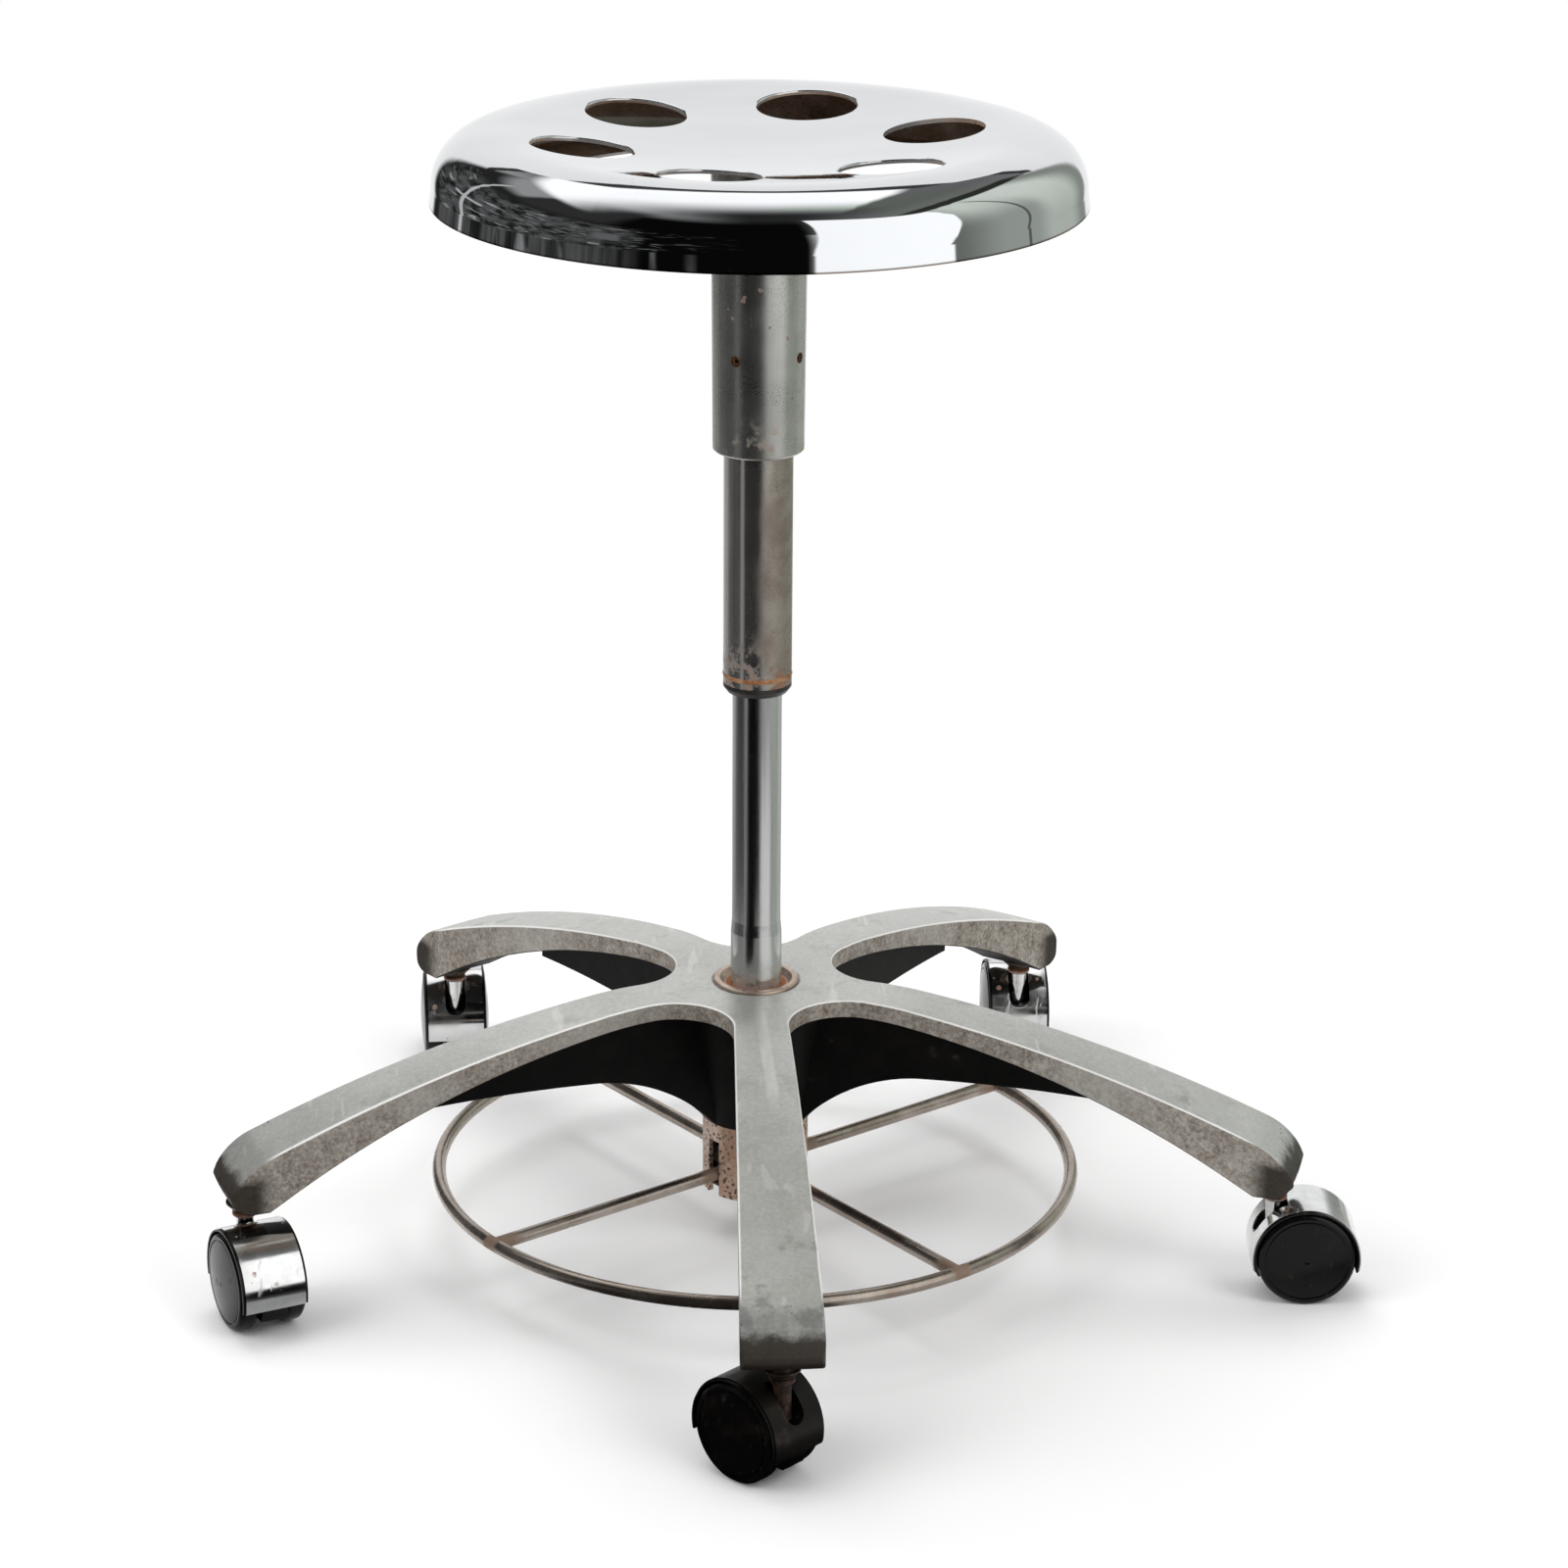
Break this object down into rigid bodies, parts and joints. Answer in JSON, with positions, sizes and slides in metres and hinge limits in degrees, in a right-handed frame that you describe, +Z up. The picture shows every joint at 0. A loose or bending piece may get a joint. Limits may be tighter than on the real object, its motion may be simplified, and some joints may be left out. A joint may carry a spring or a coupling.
{
  "type": "medical stool",
  "caption": "Height-adjustable round stool with a pierced sheet seat, a telescopic column, a star base on hooded swivel casters and a foot ring that releases the lift.",
  "frame": {"origin": "on the floor under the centre of the column", "axes": "+Z up along the column, -Y along the front arm of the base"},
  "size_m": [0.6516, 0.6229, 0.6492],
  "materials": {
    "seat_chrome": "mirror",
    "raw_steel": "dull",
    "socket_steel": "satin",
    "rusty_screw": "rusty",
    "worn_chrome": "worn",
    "rusty_ring": "rusty",
    "bush_black": "matte",
    "bright_steel": "bright",
    "aluminium_grey": "satin",
    "tube_chrome": "brushed",
    "brass_valve": "satin",
    "cast_aluminium": "satin",
    "collar_steel": "dull",
    "sleeve_steel": "dull",
    "dark_steel": "dull",
    "ring_steel": "worn",
    "spoke_steel": "worn",
    "caster_stem": "worn",
    "cover_chrome": "worn",
    "cover_dark": "tarnished",
    "caster_plastic": "satin",
    "wheel_plastic": "semi gloss"
  },
  "bodies": {
    "base": {"star_base": "cast_aluminium", "hub_collar": "collar_steel", "release_sleeve": "sleeve_steel", "snap_ring": "dark_steel", "tip_sockets": "dark_steel", "pressure_tube": "tube_chrome", "rod_guide": "bush_black", "slide_ring": "bush_black", "valve_body": "brass_valve"},
    "rod": {"piston_rod": "bright_steel", "piston": "aluminium_grey", "thrust_washer": "bright_steel", "rod_clip": "bright_steel"},
    "seat": {"seat_shell": "seat_chrome", "seat_plate": "raw_steel", "seat_socket": "socket_steel", "grub_screws": "rusty_screw", "guide_tube": "worn_chrome", "wiper_ring": "rusty_ring", "guide_bush": "bush_black", "guide_cap": "bush_black"},
    "ring": {"foot_ring": "ring_steel", "ring_spokes": "spoke_steel", "release_hub": "dark_steel", "push_screw": "bright_steel", "push_nut": "bright_steel"},
    "valve": {"valve_pin": "bright_steel"},
    "front_caster": {"front_caster_stem": "caster_stem", "front_caster_cover": "cover_dark", "front_caster_fender": "caster_plastic", "front_caster_axle": "bright_steel"},
    "front_left_wheel": {"front_caster_wheel_left": "wheel_plastic"},
    "front_right_wheel": {"front_caster_wheel_right": "wheel_plastic"},
    "right_front_caster": {"right_front_caster_stem": "caster_stem", "right_front_caster_cover": "cover_chrome", "right_front_caster_fender": "caster_plastic", "right_front_caster_axle": "bright_steel"},
    "right_front_left_wheel": {"right_front_caster_wheel_left": "wheel_plastic"},
    "right_front_right_wheel": {"right_front_caster_wheel_right": "wheel_plastic"},
    "right_rear_caster": {"right_rear_caster_stem": "caster_stem", "right_rear_caster_cover": "cover_chrome", "right_rear_caster_fender": "caster_plastic", "right_rear_caster_axle": "bright_steel"},
    "right_rear_left_wheel": {"right_rear_caster_wheel_left": "wheel_plastic"},
    "right_rear_right_wheel": {"right_rear_caster_wheel_right": "wheel_plastic"},
    "left_rear_caster": {"left_rear_caster_stem": "caster_stem", "left_rear_caster_cover": "cover_chrome", "left_rear_caster_fender": "caster_plastic", "left_rear_caster_axle": "bright_steel"},
    "left_rear_left_wheel": {"left_rear_caster_wheel_left": "wheel_plastic"},
    "left_rear_right_wheel": {"left_rear_caster_wheel_right": "wheel_plastic"},
    "left_front_caster": {"left_front_caster_stem": "caster_stem", "left_front_caster_cover": "cover_chrome", "left_front_caster_fender": "caster_plastic", "left_front_caster_axle": "bright_steel"},
    "left_front_left_wheel": {"left_front_caster_wheel_left": "wheel_plastic"},
    "left_front_right_wheel": {"left_front_caster_wheel_right": "wheel_plastic"}
  },
  "joints": [
    {"name": "seat_lift", "type": "slide", "parent": "base", "child": "rod", "axis": [0, 0, 1], "range_m": [-0.132, 0]},
    {"name": "seat_spin", "type": "hinge", "parent": "rod", "child": "seat", "pos_m": [0, 0, 0.62], "axis": [0, 0, 1], "continuous": true},
    {"name": "ring_tilt", "type": "hinge", "parent": "base", "child": "ring", "pos_m": [0, -0.025, 0.042], "axis": [1, 0, 0], "range_deg": [0, 7], "stiffness_Nm_per_rad": 20, "springref_deg": -5.73},
    {"name": "valve_push", "type": "slide", "parent": "base", "child": "valve", "axis": [0, 0, 1], "range_m": [0, 0.0034]},
    {"name": "front_swivel", "type": "hinge", "parent": "base", "child": "front_caster", "pos_m": [0, -0.305, 0.06], "axis": [0, 0, 1], "continuous": true},
    {"name": "front_left_roll", "type": "hinge", "parent": "front_caster", "child": "front_left_wheel", "pos_m": [-0.01189, -0.29216, 0.0278], "axis": [-0.7337, -0.6794, 0], "continuous": true},
    {"name": "front_right_roll", "type": "hinge", "parent": "front_caster", "child": "front_right_wheel", "pos_m": [-0.01189, -0.29216, 0.0278], "axis": [-0.7337, -0.6794, 0], "continuous": true},
    {"name": "right_front_swivel", "type": "hinge", "parent": "base", "child": "right_front_caster", "pos_m": [0.29007, -0.09425, 0.06], "axis": [0, 0, 1], "continuous": true},
    {"name": "right_front_left_roll", "type": "hinge", "parent": "right_front_caster", "child": "right_front_left_wheel", "pos_m": [0.30755, -0.0952, 0.0278], "axis": [0.0541, 0.9985, 0], "continuous": true},
    {"name": "right_front_right_roll", "type": "hinge", "parent": "right_front_caster", "child": "right_front_right_wheel", "pos_m": [0.30755, -0.0952, 0.0278], "axis": [0.0541, 0.9985, 0], "continuous": true},
    {"name": "right_rear_swivel", "type": "hinge", "parent": "base", "child": "right_rear_caster", "pos_m": [0.17927, 0.24675, 0.06], "axis": [0, 0, 1], "continuous": true},
    {"name": "right_rear_left_roll", "type": "hinge", "parent": "right_rear_caster", "child": "right_rear_left_wheel", "pos_m": [0.17897, 0.26425, 0.0278], "axis": [-0.9998, -0.0175, 0], "continuous": true},
    {"name": "right_rear_right_roll", "type": "hinge", "parent": "right_rear_caster", "child": "right_rear_right_wheel", "pos_m": [0.17897, 0.26425, 0.0278], "axis": [-0.9998, -0.0175, 0], "continuous": true},
    {"name": "left_rear_swivel", "type": "hinge", "parent": "base", "child": "left_rear_caster", "pos_m": [-0.17927, 0.24675, 0.06], "axis": [0, 0, 1], "continuous": true},
    {"name": "left_rear_left_roll", "type": "hinge", "parent": "left_rear_caster", "child": "left_rear_left_wheel", "pos_m": [-0.18019, 0.26423, 0.0278], "axis": [-0.9986, -0.0523, 0], "continuous": true},
    {"name": "left_rear_right_roll", "type": "hinge", "parent": "left_rear_caster", "child": "left_rear_right_wheel", "pos_m": [-0.18019, 0.26423, 0.0278], "axis": [-0.9986, -0.0523, 0], "continuous": true},
    {"name": "left_front_swivel", "type": "hinge", "parent": "base", "child": "left_front_caster", "pos_m": [-0.29007, -0.09425, 0.06], "axis": [0, 0, 1], "continuous": true},
    {"name": "left_front_left_roll", "type": "hinge", "parent": "left_front_caster", "child": "left_front_left_wheel", "pos_m": [-0.28312, -0.11031, 0.0278], "axis": [0.9178, 0.3971, 0], "continuous": true},
    {"name": "left_front_right_roll", "type": "hinge", "parent": "left_front_caster", "child": "left_front_right_wheel", "pos_m": [-0.28312, -0.11031, 0.0278], "axis": [0.9178, 0.3971, 0], "continuous": true}
  ],
  "couplings": [
    {"joint": "valve_push", "follows": "ring_tilt", "m_per_rad": 0.0266}
  ]
}
